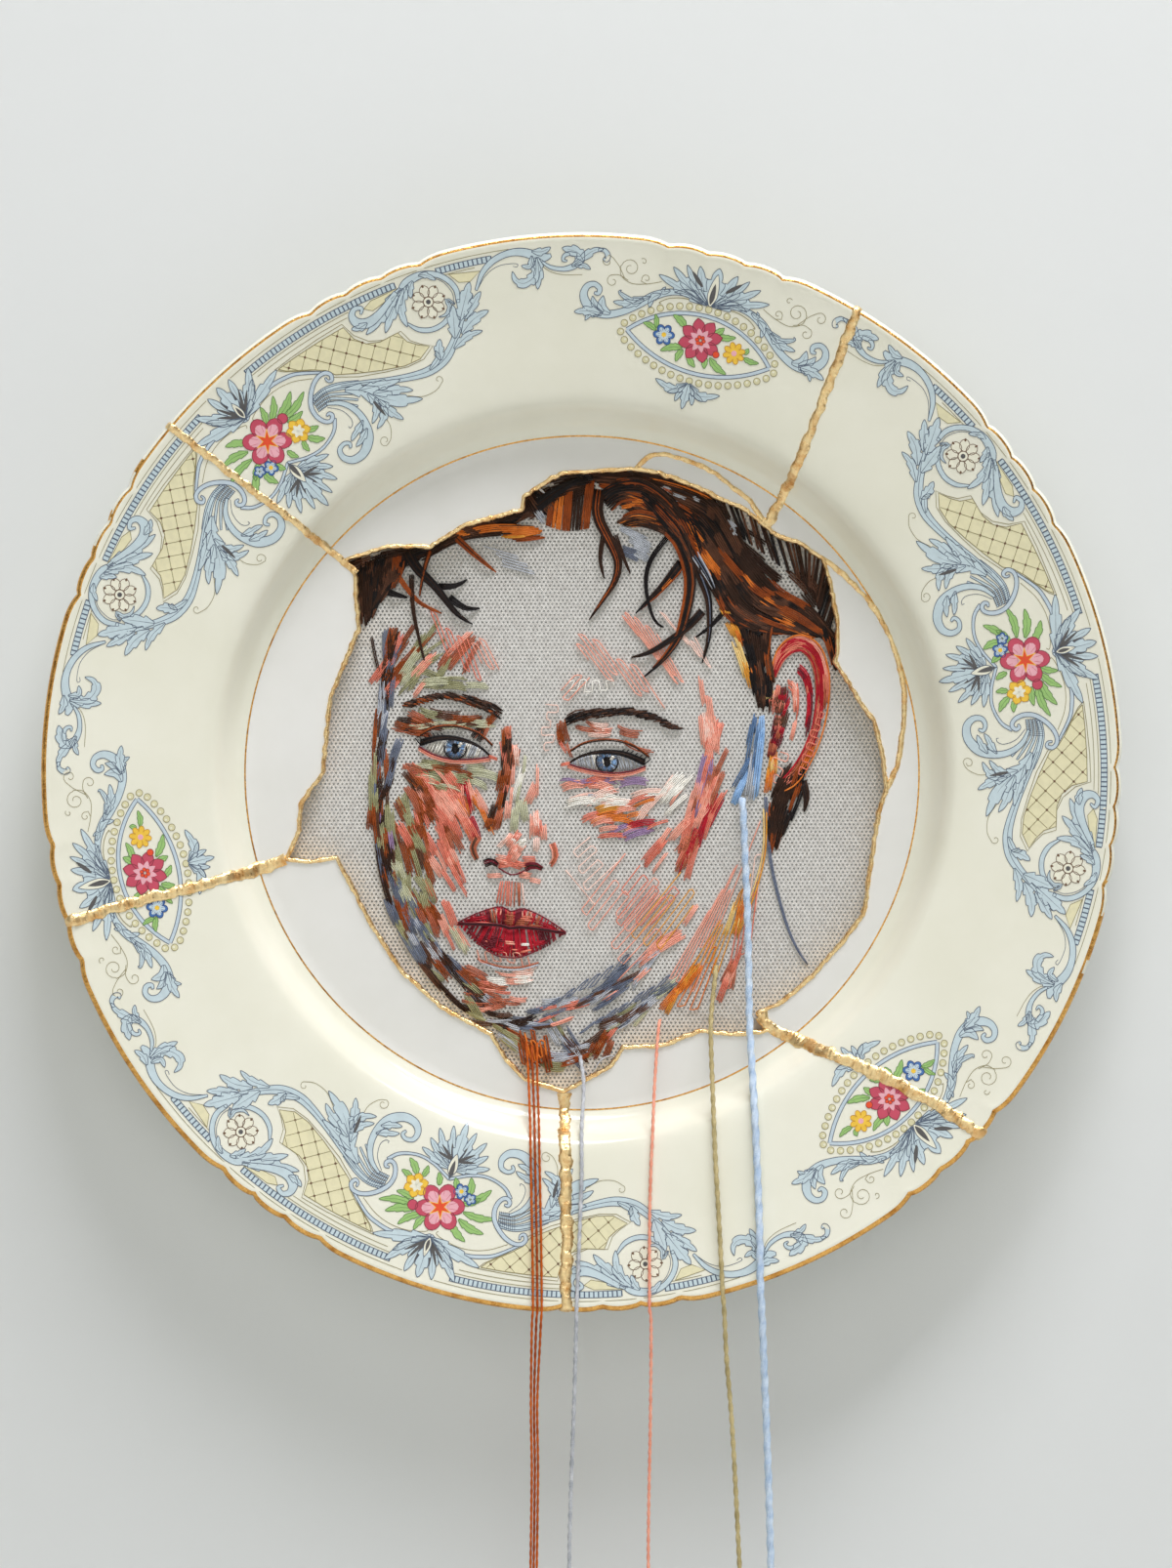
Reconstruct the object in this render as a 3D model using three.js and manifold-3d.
import * as THREE from 'three';
import { mergeVertices } from 'three/addons/utils/BufferGeometryUtils.js';
import Module from 'manifold-3d';

const wasm = await Module();
wasm.setup();

// A broken dinner plate, joined again with raised gold seams. The plate's axis lies along Y, its face looks
// towards -Y, and the flat back of its foot ring lies in the plane y = 0, against the wall it hangs on.
// +Z is up. The origin is on the plate's axis, in the wall plane. Lengths are millimetres, angles degrees.

// ---- Driving dimensions ----
const rimRadius = 135.5;
const wellRadius = 84.9;
const ringBoreRadius = 55;
const floorBack = -3;
const floorFront = -7.5;
const rimFront = -23.8;
const footInnerRadius = 86;
const footOuterRadius = 90;

const scallopGroups = 9;
const groupAngle = 360 / scallopGroups;
const groupCentre = 34.2;
const lobesPerGroup = 3;
const lobeAngle = 4.2;
const notchDepth = 1.3;
const stepsPerLobe = 3;
const stepsPerStretch = 6;

const crackWidth = 1.0;
const webWidth = 0.4;
const clearance = 0.3;
const beadHeight = 1.0;
const edgingWidth = 0.9;
const edgingProud = 0.7;

const netRadius = 85;
const netFront = floorBack + clearance;
const netBack = netFront + 0.5;
const padFront = -3.9;
const padBack = netFront - clearance;
const padMargin = 2.2;

const cutDepth = 40;
const beyondRim = 145;

// ---- Finishes ----
function finish(color, roughness, metalness) {
  return new THREE.MeshStandardMaterial({ color, roughness, metalness });
}
const glaze = finish(0xe8e7d8, 0.12, 0);
const gold = finish(0xd29a45, 0.3, 1);
const tulle = finish(0xb6b4b1, 0.9, 0);
const hairCotton = finish(0x2a1f1a, 0.7, 0);
const skinCotton = finish(0xd9a088, 0.7, 0);
const brownCotton = finish(0x96502a, 0.7, 0);
const greyCotton = finish(0x8a949e, 0.7, 0);
const pinkCotton = finish(0xe09a86, 0.7, 0);
const oliveCotton = finish(0x96966e, 0.7, 0);
const blueCotton = finish(0x9cb6d0, 0.7, 0);

// ---- Break lines: [degrees anticlockwise from +X, radius] ----
// Each radial crack runs from the rim to the hole.
const cracks = {
  upper_left: [[140.2, beyondRim], [139.5, 114], [138.4, 80.7], [138.6, 77]],
  upper_right: [[60.2, beyondRim], [58, 120], [56.5, 105], [54.7, 92], [53.3, 79], [53, 76.5]],
  lower_right: [
    [318.6, beyondRim], [316.9, 122], [315.3, 110], [313, 99], [310.1, 90], [306.6, 80.7], [306.2, 79.4],
  ],
  bottom: [[268.3, beyondRim], [268.1, 113], [267.1, 88], [266.7, 81], [266.6, 79]],
  left: [[196.4, beyondRim], [196.1, 117], [196.6, 92], [196.3, 77.8], [196.3, 76]],
};
// The arcs round the two small sherds run anticlockwise, and their ends run on into the hole.
const arcs = {
  sliver_top: [
    [52.6, 76.5], [54.1, 78.4], [55.7, 78.9], [58.5, 80.5], [62.3, 81.3], [65.2, 82.3], [69.8, 83],
    [73.2, 82.9], [75.8, 82.7], [78.2, 81.3], [80, 77.8], [80.6, 75],
  ],
  sliver_right: [
    [355.6, 74.6], [356.4, 76.9], [361.2, 79.3], [367.5, 81.4], [373.3, 83.7], [379.7, 84.7],
    [386.5, 85.3], [391.2, 84.3], [397.7, 82.5], [401.6, 81.3], [402.6, 78.5],
  ],
};
// The hole's broken edge, anticlockwise, in stretches that belong to one sherd each.
const holeEdge = {
  sliver_top: [[53, 77.7], [58.8, 78.2], [63, 77.5], [66.6, 77.7], [72, 77.8], [75.5, 78.2]],
  top: [
    [80, 77.8], [85.6, 76.6], [94.3, 75.7], [101.9, 71.3], [102.9, 68.1], [115.4, 69.2], [123.9, 68.8],
    [130.7, 75.3],
  ],
  left: [
    [138, 80.3], [138.9, 75.9], [147.1, 67], [153.4, 66.2], [163.4, 66.3], [180.3, 65.5], [186.3, 71.4],
    [191.5, 72.8],
  ],
  lower_left: [
    [196.3, 77.8], [198.2, 72.1], [199.1, 65.5], [216.2, 65.6], [228.1, 67.7], [239, 68.9],
    [250.8, 69.8], [255.3, 75], [259.6, 78.7],
  ],
  lower_right: [
    [266.7, 80.5], [270.7, 77.4], [275.6, 74.3], [278.6, 70], [286.4, 71.7], [294.7, 71.5], [299.7, 76],
  ],
  right: [
    [306.4, 80.6], [306.3, 75.1], [310.8, 76.7], [318.5, 77.4], [326, 78.1], [333.2, 79.5],
    [345.2, 75.9], [352.1, 75.5],
  ],
  sliver_right: [
    [357.2, 76.9], [3.9, 75.9], [10.1, 74.9], [13.6, 72.7], [18.6, 71], [23.7, 69.7], [26.1, 71.9],
    [31.3, 75.2], [38.2, 79.3],
  ],
  right_end: [[41.6, 81.3], [46.7, 79.8], [51, 77.4]],
};

// ---- Half widths of the gold beads ----
const beadHalfWidth = {
  upper_left: 0.9,
  upper_right: 1.2,
  lower_right: 1.4,
  bottom: 1.3,
  left: 1.3,
  sliver_top: 0.8,
  sliver_right: 0.8,
};

// ---- Thread routes: [x, y, z], from the net over the rim to the cut end ----
const threads = {
  tail_brown_left: { diameter: 0.7, finish: brownCotton, route: [
    [-14.0, -4.2, -67.9], [-14.0, -4.9, -68.0], [-13.9, -5.9, -69.4], [-13.6, -8.0, -74.0],
    [-13.4, -9.7, -78.2], [-13.2, -12.0, -83.2], [-13.0, -15.2, -89.0], [-12.9, -18.1, -94.4],
    [-12.8, -19.1, -100], [-12.6, -20.7, -110], [-12.4, -22.4, -120], [-12.3, -24.1, -130],
    [-12.3, -25.0, -134.6], [-12.6, -25.1, -139], [-13.2, -24.6, -158], [-13.0, -24.4, -175],
    [-13.3, -24.2, -199], [-13.6, -24.1, -222], [-13.3, -24.1, -241],
  ] },
  tail_brown_middle: { diameter: 0.7, finish: brownCotton, route: [
    [-12.6, -4.2, -69.0], [-12.6, -4.9, -69.1], [-12.6, -5.9, -70.3], [-12.4, -8.1, -74.6],
    [-12.3, -9.8, -78.6], [-12.1, -12.0, -83.3], [-11.9, -15.2, -89.1], [-11.8, -18.1, -94.6],
    [-11.7, -19.1, -100], [-11.5, -20.7, -110], [-11.3, -22.4, -120], [-11.2, -24.1, -130],
    [-11.2, -25.0, -134.7], [-11.5, -25.1, -139], [-12.0, -24.6, -158], [-11.8, -24.4, -175],
    [-12.1, -24.2, -199], [-12.3, -24.1, -226], [-12.0, -24.1, -252],
  ] },
  tail_brown_right: { diameter: 0.7, finish: brownCotton, route: [
    [-11.2, -4.2, -68.2], [-11.2, -4.9, -68.3], [-11.3, -5.9, -69.8], [-11.3, -8.0, -74.2],
    [-11.2, -9.8, -78.8], [-11.0, -12.0, -83.4], [-10.8, -15.2, -89.3], [-10.7, -18.1, -94.8],
    [-10.6, -19.1, -100], [-10.4, -20.7, -110], [-10.2, -22.4, -120], [-10.1, -24.1, -130],
    [-10.1, -25.0, -134.8], [-10.3, -25.1, -139], [-10.8, -24.6, -158], [-10.6, -24.4, -175],
    [-10.9, -24.2, -199], [-11.1, -24.1, -220], [-10.9, -24.1, -235],
  ] },
  tail_grey: { diameter: 1.1, finish: greyCotton, route: [
    [-0.4, -4.2, -71.6], [-0.4, -5.1, -71.7], [-0.2, -6.7, -73.0], [0.3, -9.0, -76.4],
    [0.4, -10.6, -80.0], [0.2, -12.4, -84.2], [-0.1, -15.4, -89.4], [-0.1, -18.3, -95.4],
    [-0.1, -19.4, -101], [-0.4, -20.9, -110], [-0.8, -22.6, -120], [-1.2, -24.3, -130],
    [-1.4, -25.3, -135.2], [-1.5, -25.4, -140], [-2.0, -24.9, -158], [-2.8, -24.6, -180],
    [-3.2, -24.4, -199], [-3.0, -24.3, -224], [-3.4, -24.3, -246],
  ] },
  tail_pink: { diameter: 0.9, finish: pinkCotton, route: [
    [19.6, -4.2, -62.4], [19.6, -5.0, -62.5], [19.3, -6.9, -64.2], [18.9, -9.3, -68.6],
    [18.6, -10.9, -73.0], [18.2, -13.0, -79.2], [17.9, -15.8, -86.0], [17.6, -18.1, -93.0],
    [17.3, -19.2, -99], [17.0, -20.9, -109], [16.9, -22.6, -119], [16.9, -24.2, -129],
    [16.9, -25.1, -134.2], [17.3, -25.2, -139], [17.1, -24.7, -163], [16.7, -24.4, -184],
    [16.6, -24.3, -199], [16.9, -24.2, -218], [16.6, -24.2, -237],
  ] },
  tail_olive: { diameter: 1.3, finish: oliveCotton, route: [
    [33.8, -4.2, -49.0], [33.8, -5.2, -49.1], [33.5, -6.6, -51.6], [32.9, -8.2, -57.0],
    [32.4, -10.1, -63.4], [32.5, -12.7, -71.0], [32.8, -15.8, -79.6], [33.1, -18.6, -88.2],
    [33.4, -19.8, -96], [33.9, -21.3, -105], [34.4, -22.9, -114], [34.9, -24.4, -123.5],
    [35.2, -25.4, -129.8], [35.6, -25.6, -135], [36.2, -25.2, -147], [37.6, -24.8, -164],
    [39.0, -24.6, -190], [40.0, -24.5, -214], [39.6, -24.5, -234],
  ] },
  tail_blue: { diameter: 2.0, finish: blueCotton, route: [
    [40.4, -4.2, -7.0], [40.4, -5.6, -7.2], [40.6, -7.0, -10.2], [41.0, -7.8, -20.0],
    [41.6, -8.6, -34.0], [41.9, -9.6, -48.0], [42.1, -11.6, -62.0], [42.7, -15.0, -74.0],
    [43.3, -18.9, -85.4], [43.8, -20.5, -96], [44.2, -22.1, -106], [44.5, -23.7, -116],
    [44.6, -25.2, -125.0], [44.7, -26.0, -129.6], [45.0, -26.1, -135], [45.7, -25.4, -152],
    [46.6, -25.1, -175], [47.3, -24.9, -199], [48.0, -24.8, -224], [47.7, -24.8, -247],
  ] },
};
const threadSides = 8;
const diametersPerStep = 3;
const mostThreadSteps = 64;

// ---- Outlines of the stitched pads, in the plane of the net, as (x, z) ----
const headTilt = -5;
const face = { x: -7, z: -9, halfWidth: 49, halfHeight: 57, tilt: headTilt };
const ear = { x: 54, z: 14, halfWidth: 8, halfHeight: 20, tilt: headTilt };
const hairOutline = [
  [-50, 34], [-42, 42], [-25, 54], [-2, 57], [18, 50], [36, 36], [42, 22], [47, 6], [49, 26], [54, 37],
  [61, 33], [70, 40], [60, 70], [10, 90], [-60, 70], [-70, 50], [-58, 36],
];
const neckOutline = [[38, -36], [46, -8], [50, -14], [49, -52], [34, -70], [0, -85], [-24, -80], [-16, -60]];

// ---- Helpers ----
const radians = (degrees) => THREE.MathUtils.degToRad(degrees);

// A point of the plate's plane, as (x, z), from its angle and radius.
function planePoint([angle, radius]) {
  return new THREE.Vector2(radius * Math.cos(radians(angle)), radius * Math.sin(radians(angle)));
}

function toSolid(geometry) {
  geometry.deleteAttribute('normal');
  geometry.deleteAttribute('uv');
  const merged = mergeVertices(geometry, 1e-4);
  return new wasm.Manifold(new wasm.Mesh({
    numProp: 3,
    vertProperties: new Float32Array(merged.attributes.position.array),
    triVerts: new Uint32Array(merged.index.array),
  }));
}

function toMesh(name, solid, material) {
  const { vertProperties, triVerts } = solid.getMesh();
  const geometry = new THREE.BufferGeometry();
  geometry.setAttribute('position', new THREE.BufferAttribute(vertProperties, 3));
  geometry.setIndex(new THREE.BufferAttribute(triVerts, 1));
  geometry.computeVertexNormals();
  const mesh = new THREE.Mesh(geometry, material);
  mesh.name = name;
  return mesh;
}

// A shape drawn in (x, z), extruded along Y from back to front.
function prism(shape, back = cutDepth / 2, front = -cutDepth) {
  const geometry = new THREE.ExtrudeGeometry(shape, { depth: back - front, bevelEnabled: false, steps: 1 });
  geometry.rotateX(Math.PI / 2);
  geometry.translate(0, back, 0);
  return toSolid(geometry);
}

function disc(radius, front, back) {
  const geometry = new THREE.CylinderGeometry(radius, radius, back - front, 72);
  geometry.translate(0, (front + back) / 2, 0);
  return toSolid(geometry);
}

// Moves each point of a closed outline towards its inside by a distance, keeping the sides parallel.
function inset(outline, distance) {
  const count = outline.length;
  return outline.map((point, index) => {
    const before = outline[(index + count - 1) % count];
    const after = outline[(index + 1) % count];
    const inward = sideNormal(before, point).add(sideNormal(point, after)).normalize();
    const stretch = Math.max(inward.dot(sideNormal(before, point)), 0.5);
    return point.clone().addScaledVector(inward, distance / stretch);
  });
}

// The normal to the left of the way from one point to the next.
function sideNormal(from, to) {
  const along = to.clone().sub(from).normalize();
  return new THREE.Vector2(-along.y, along.x);
}

// A ribbon of even width along an open line.
function ribbon(line, halfWidth) {
  const points = line.map(planePoint);
  const shifted = (offset) => points.map((point, index) => {
    const before = points[Math.max(index - 1, 0)];
    const after = points[Math.min(index + 1, points.length - 1)];
    return point.clone().addScaledVector(sideNormal(before, after), offset);
  });
  return new THREE.Shape([...shifted(-halfWidth), ...shifted(halfWidth).reverse()]);
}

// ---- The plate's section, turned about its axis ----
// [radius, y], from the hole along the floor's front, up the cove, over the rim and back behind.
const section = [
  [ringBoreRadius, floorFront], [wellRadius, floorFront], [87.4, -8.9], [89.6, -11.9], [91.3, -14.9],
  [93.3, -16.7], [96.5, -17.6], [115, -20.5], [rimRadius - 1.6, rimFront], [rimRadius - 0.4, -23.4],
  [rimRadius, -22.3], [rimRadius - 0.6, -21.2], [rimRadius - 2.6, -20.1], [115, -16.7], [98, -13.6],
  [94.5, -11.6], [92.2, -7.6], [90.6, -3.4], [footOuterRadius, 0], [footInnerRadius, 0], [85.4, floorBack],
  [ringBoreRadius, floorBack],
].map(([radius, y]) => new THREE.Vector2(radius, y));

// The section grown outwards, but never behind the wall plane by more than a set amount.
function grownSection(distance, backLimit) {
  return inset(section, -distance).map((point) => new THREE.Vector2(point.x, Math.min(point.y, backLimit)));
}

// How far the rim's edge stands out at an angle: 0 in the notches between scallops, 1 on a full lobe.
function scallopHeight(angle) {
  const groupWidth = lobesPerGroup * lobeAngle;
  const fromGroupStart = THREE.MathUtils.euclideanModulo(angle - groupCentre + groupWidth / 2, groupAngle);
  if (fromGroupStart < groupWidth) {
    return 0.75 * Math.sqrt(Math.abs(Math.sin(Math.PI * fromGroupStart / lobeAngle)));
  }
  const fromNotch = Math.min(fromGroupStart - groupWidth, groupAngle - fromGroupStart);
  return THREE.MathUtils.smootherstep(Math.sqrt(Math.min(fromNotch / 3, 1)), 0, 1);
}

// Spreads the turned steps unevenly, so that each lobe gets as many as it needs.
function warpAngle(angle) {
  const steps = lobesPerGroup * stepsPerLobe + stepsPerStretch;
  const turned = angle / 360 * scallopGroups;
  const step = (turned - Math.floor(turned)) * steps;
  const lobeSteps = lobesPerGroup * stepsPerLobe;
  const groupWidth = lobesPerGroup * lobeAngle;
  const within = step < lobeSteps
    ? step * lobeAngle / stepsPerLobe
    : groupWidth + (step - lobeSteps) * (groupAngle - groupWidth) / stepsPerStretch;
  return groupCentre - groupWidth / 2 + Math.floor(turned) * groupAngle + within;
}

// Turns a closed section about Y and shapes the scallops in its edge.
function turnedPlate(profile) {
  const steps = scallopGroups * (lobesPerGroup * stepsPerLobe + stepsPerStretch);
  const geometry = new THREE.LatheGeometry([profile[0], ...[...profile].reverse()], steps);
  const position = geometry.attributes.position;
  for (let index = 0; index < position.count; index += 1) {
    const radius = Math.hypot(position.getX(index), position.getZ(index));
    const turn = Math.atan2(position.getX(index), position.getZ(index)) / (2 * Math.PI);
    const wholeStep = THREE.MathUtils.euclideanModulo(Math.round(turn * steps), steps);
    const angle = warpAngle((wholeStep / steps) * 360);
    const edgeShare = THREE.MathUtils.smoothstep(radius, rimRadius - 8, rimRadius - 1);
    const shaped = radius - notchDepth * edgeShare * (1 - scallopHeight(angle));
    position.setX(index, shaped * Math.cos(radians(angle)));
    position.setZ(index, shaped * Math.sin(radians(angle)));
  }
  return toSolid(geometry);
}

// ---- Porcelain ----
const plate = turnedPlate(section);
const plateUnderBeads = turnedPlate(grownSection(clearance, 1));
const plateOverBeads = turnedPlate(grownSection(beadHeight, 0));

const holeOutline = Object.values(holeEdge).flat().map(planePoint);
const hole = prism(new THREE.Shape(holeOutline));
const crackCut = {};
for (const [name, line] of Object.entries({ ...cracks, ...arcs })) {
  crackCut[name] = prism(ribbon(line, crackWidth / 2));
}
const sliverField = {};
for (const [name, line] of Object.entries(arcs)) {
  sliverField[name] = prism(new THREE.Shape([new THREE.Vector2(0, 0), ...line.map(planePoint)]));
}

// The part of the plane between two cracks, anticlockwise, as a shape that reaches past the rim.
function sector(firstCrack, lastCrack) {
  const start = firstCrack[0][0];
  const span = THREE.MathUtils.euclideanModulo(lastCrack[0][0] - start, 360);
  const arcSteps = Math.ceil(span / 20);
  const beyond = [];
  for (let step = 1; step < arcSteps; step += 1) {
    beyond.push([start + (span * step) / arcSteps, beyondRim + 10]);
  }
  const outline = [...firstCrack].reverse().concat(beyond, lastCrack).map(planePoint);
  return new THREE.Shape([new THREE.Vector2(0, 0), ...outline]);
}

function subtractAll(solid, cuts) {
  return cuts.reduce((left, cut) => left.subtract(cut), solid);
}

const sherdCracks = {
  sherd_top: ['upper_right', 'upper_left'],
  sherd_left: ['upper_left', 'left'],
  sherd_lower_left: ['left', 'bottom'],
  sherd_lower_right: ['bottom', 'lower_right'],
  sherd_right: ['lower_right', 'upper_right'],
};

function makeSherds() {
  const sherds = [];
  for (const [name, [first, last]] of Object.entries(sherdCracks)) {
    const field = prism(sector(cracks[first], cracks[last]));
    const cuts = [hole, ...Object.values(crackCut), ...Object.values(sliverField)];
    sherds.push(toMesh(name, subtractAll(plate.intersect(field), cuts), glaze));
  }
  for (const name of Object.keys(arcs)) {
    const sliver = plate.intersect(sliverField[name]);
    const cuts = [hole, crackCut[name], crackCut.upper_right];
    sherds.push(toMesh(name, subtractAll(sliver, cuts), glaze));
  }
  return sherds;
}

// ---- Gold seams: a thin web in each crack, with a bead on the plate's front and back ----
// The bead behind stops at the net, which is glued flat to the porcelain.
function seamSolid(name, line) {
  const bead = plateOverBeads.intersect(prism(ribbon(line, beadHalfWidth[name]))).subtract(plateUnderBeads);
  const web = plateOverBeads.intersect(prism(ribbon(line, webWidth / 2)));
  return bead.add(web).subtract(hole).subtract(disc(netRadius + clearance, floorBack, cutDepth / 2));
}

function makeSeams() {
  const seams = [];
  for (const [name, line] of Object.entries(cracks)) {
    seams.push(toMesh(`seam_${name}`, seamSolid(name, line), gold));
  }
  for (const [name, line] of Object.entries(arcs)) {
    const besideMainSeam = prism(ribbon(cracks.upper_right, beadHalfWidth.upper_right + clearance));
    seams.push(toMesh(`seam_${name}`, seamSolid(name, line).subtract(besideMainSeam), gold));
  }
  return seams;
}

function makeEdging() {
  const shape = new THREE.Shape(inset(holeOutline, clearance));
  shape.holes.push(new THREE.Path(inset(holeOutline, clearance + edgingWidth)));
  return toMesh('gold_edging', prism(shape, floorBack, floorFront - edgingProud), gold);
}

// ---- Net and stitching ----
function makeNet() {
  return toMesh('net', disc(netRadius, netFront, netBack), tulle);
}

function ellipseShape({ x, z, halfWidth, halfHeight, tilt }, grown = 0) {
  const width = halfWidth + grown;
  const height = halfHeight + grown;
  const curve = new THREE.EllipseCurve(x, z, width, height, 0, 2 * Math.PI, false, radians(tilt));
  return new THREE.Shape(curve.getPoints(40).slice(0, -1));
}

function outlineShape(outline, grown = 0) {
  return new THREE.Shape(inset(outline.map(([x, z]) => new THREE.Vector2(x, z)), -grown));
}

// The pads lie side by side on the net: hair over the face, ear and neck beside it.
function makePads() {
  const padField = prism(new THREE.Shape(inset(holeOutline, padMargin)), padBack, padFront);
  const hairRoom = prism(outlineShape(hairOutline, clearance));
  const hair = padField.intersect(prism(outlineShape(hairOutline)));
  const faceSolid = padField.intersect(prism(ellipseShape(face))).subtract(hairRoom);
  const faceRoom = prism(ellipseShape(face, clearance));
  const earSolid = padField.intersect(prism(ellipseShape(ear))).subtract(faceRoom).subtract(hairRoom);
  const earRoom = prism(ellipseShape(ear, clearance));
  const neckField = padField.intersect(prism(outlineShape(neckOutline)));
  const neck = subtractAll(neckField, [faceRoom, hairRoom, earRoom]);
  return [
    toMesh('hair_stitching', hair, hairCotton),
    toMesh('face_stitching', faceSolid, skinCotton),
    toMesh('ear_stitching', earSolid, skinCotton),
    toMesh('neck_stitching', neck, skinCotton),
  ];
}

// ---- Loose thread tails ----
function makeThread(name, { diameter, finish: material, route }) {
  const curve = new THREE.CatmullRomCurve3(route.map((point) => new THREE.Vector3(...point)));
  const steps = Math.min(Math.ceil(curve.getLength() / (diameter * diametersPerStep)), mostThreadSteps);
  const across = new THREE.EllipseCurve(0, 0, diameter / 2, diameter / 2, 0, 2 * Math.PI);
  const shape = new THREE.Shape(across.getPoints(threadSides).slice(0, -1));
  const geometry = new THREE.ExtrudeGeometry(shape, { steps, extrudePath: curve, bevelEnabled: false });
  return toMesh(name, toSolid(geometry), material);
}

const part = new THREE.Group();
part.add(...makeSherds(), ...makeSeams(), makeEdging(), makeNet(), ...makePads());
for (const [name, thread] of Object.entries(threads)) {
  part.add(makeThread(name, thread));
}

export default part;
